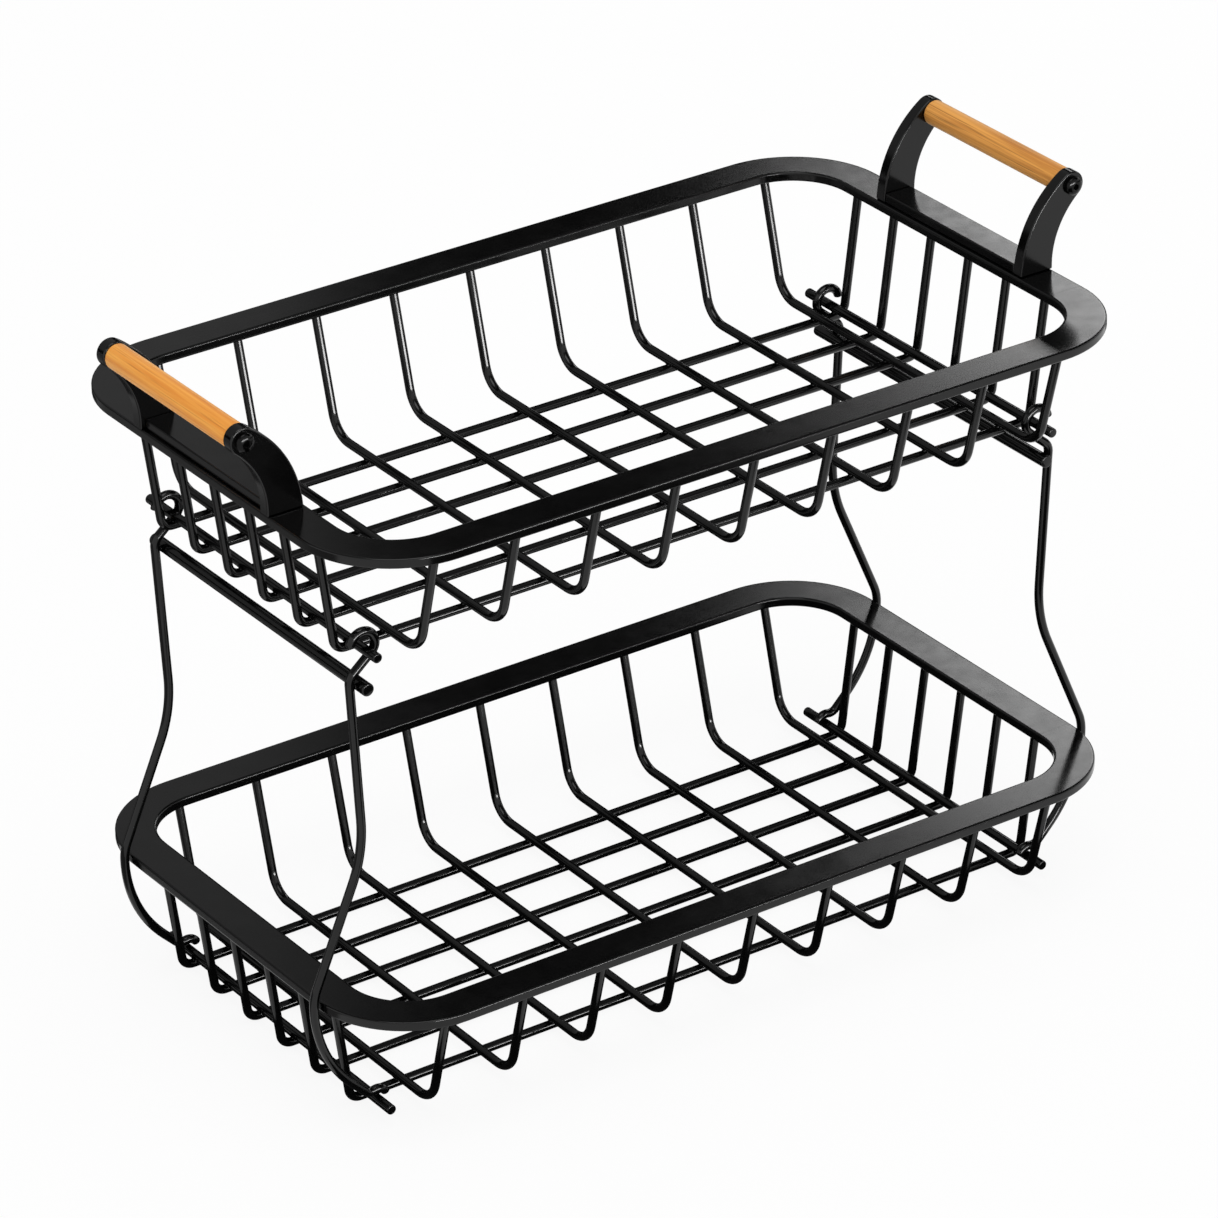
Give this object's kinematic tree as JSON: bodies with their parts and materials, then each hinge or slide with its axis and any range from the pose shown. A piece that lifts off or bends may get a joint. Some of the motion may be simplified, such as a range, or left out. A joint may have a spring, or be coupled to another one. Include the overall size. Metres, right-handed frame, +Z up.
{
  "type": "two-tier fruit basket",
  "caption": "Two-tier countertop fruit basket of black wire with flat strip rims, hooked wire leg frames between the tiers and wooden end grips.",
  "frame": {"origin": "on the table, under the middle of the whole rack", "axes": "+X along the long side to the right, +Y to the back, +Z up"},
  "size_m": [0.4328, 0.24, 0.3214],
  "materials": {
    "black_paint": "gloss",
    "grip_wood": "satin",
    "screw_black": "satin"
  },
  "bodies": {
    "lower_basket": {"lower_rim": "black_paint", "lower_cross_wire_1": "black_paint", "lower_cross_wire_2": "black_paint", "lower_cross_wire_3": "black_paint", "lower_cross_wire_4": "black_paint", "lower_cross_wire_5": "black_paint", "lower_cross_wire_6": "black_paint", "lower_cross_wire_7": "black_paint", "lower_cross_wire_8": "black_paint", "lower_cross_wire_9": "black_paint", "lower_long_wire_1": "black_paint", "lower_long_wire_2": "black_paint", "lower_long_wire_3": "black_paint", "lower_long_wire_4": "black_paint", "lower_long_wire_5": "black_paint", "lower_long_wire_6": "black_paint", "lower_end_rod_left": "black_paint", "lower_end_rod_right": "black_paint"},
    "upper_basket": {"upper_rim": "black_paint", "upper_cross_wire_1": "black_paint", "upper_cross_wire_2": "black_paint", "upper_cross_wire_3": "black_paint", "upper_cross_wire_4": "black_paint", "upper_cross_wire_5": "black_paint", "upper_cross_wire_6": "black_paint", "upper_cross_wire_7": "black_paint", "upper_cross_wire_8": "black_paint", "upper_cross_wire_9": "black_paint", "upper_long_wire_1": "black_paint", "upper_long_wire_2": "black_paint", "upper_long_wire_3": "black_paint", "upper_long_wire_4": "black_paint", "upper_long_wire_5": "black_paint", "upper_long_wire_6": "black_paint", "upper_end_rod_left": "black_paint", "upper_end_rod_right": "black_paint", "left_handle_base_bar": "black_paint", "left_handle_ear_front": "black_paint", "left_handle_ear_back": "black_paint", "left_handle_screw_front": "screw_black", "left_handle_screw_back": "screw_black", "left_handle_grip": "grip_wood", "right_handle_base_bar": "black_paint", "right_handle_ear_front": "black_paint", "right_handle_ear_back": "black_paint", "right_handle_screw_front": "screw_black", "right_handle_screw_back": "screw_black", "right_handle_grip": "grip_wood"},
    "left_legs": {"left_leg_front": "black_paint", "left_leg_back": "black_paint", "left_leg_cross_rod": "black_paint"},
    "right_legs": {"right_leg_front": "black_paint", "right_leg_back": "black_paint", "right_leg_cross_rod": "black_paint"}
  },
  "joints": [
    {"name": "upper_lift", "type": "slide", "parent": "lower_basket", "child": "upper_basket", "axis": [0, 0, 1], "range_m": [0, 0.09]},
    {"name": "left_legs_swing", "type": "hinge", "parent": "upper_basket", "child": "left_legs", "pos_m": [-0.1734, 0, 0.2215], "axis": [0, 1, 0], "range_deg": [0, 19]},
    {"name": "right_legs_swing", "type": "hinge", "parent": "upper_basket", "child": "right_legs", "pos_m": [0.1734, 0, 0.2215], "axis": [0, -1, 0], "range_deg": [0, 19]}
  ],
  "couplings": [
    {"joint": "left_legs_swing", "follows": "upper_lift", "rad_per_m": 3.6},
    {"joint": "right_legs_swing", "follows": "upper_lift", "rad_per_m": 3.6}
  ]
}
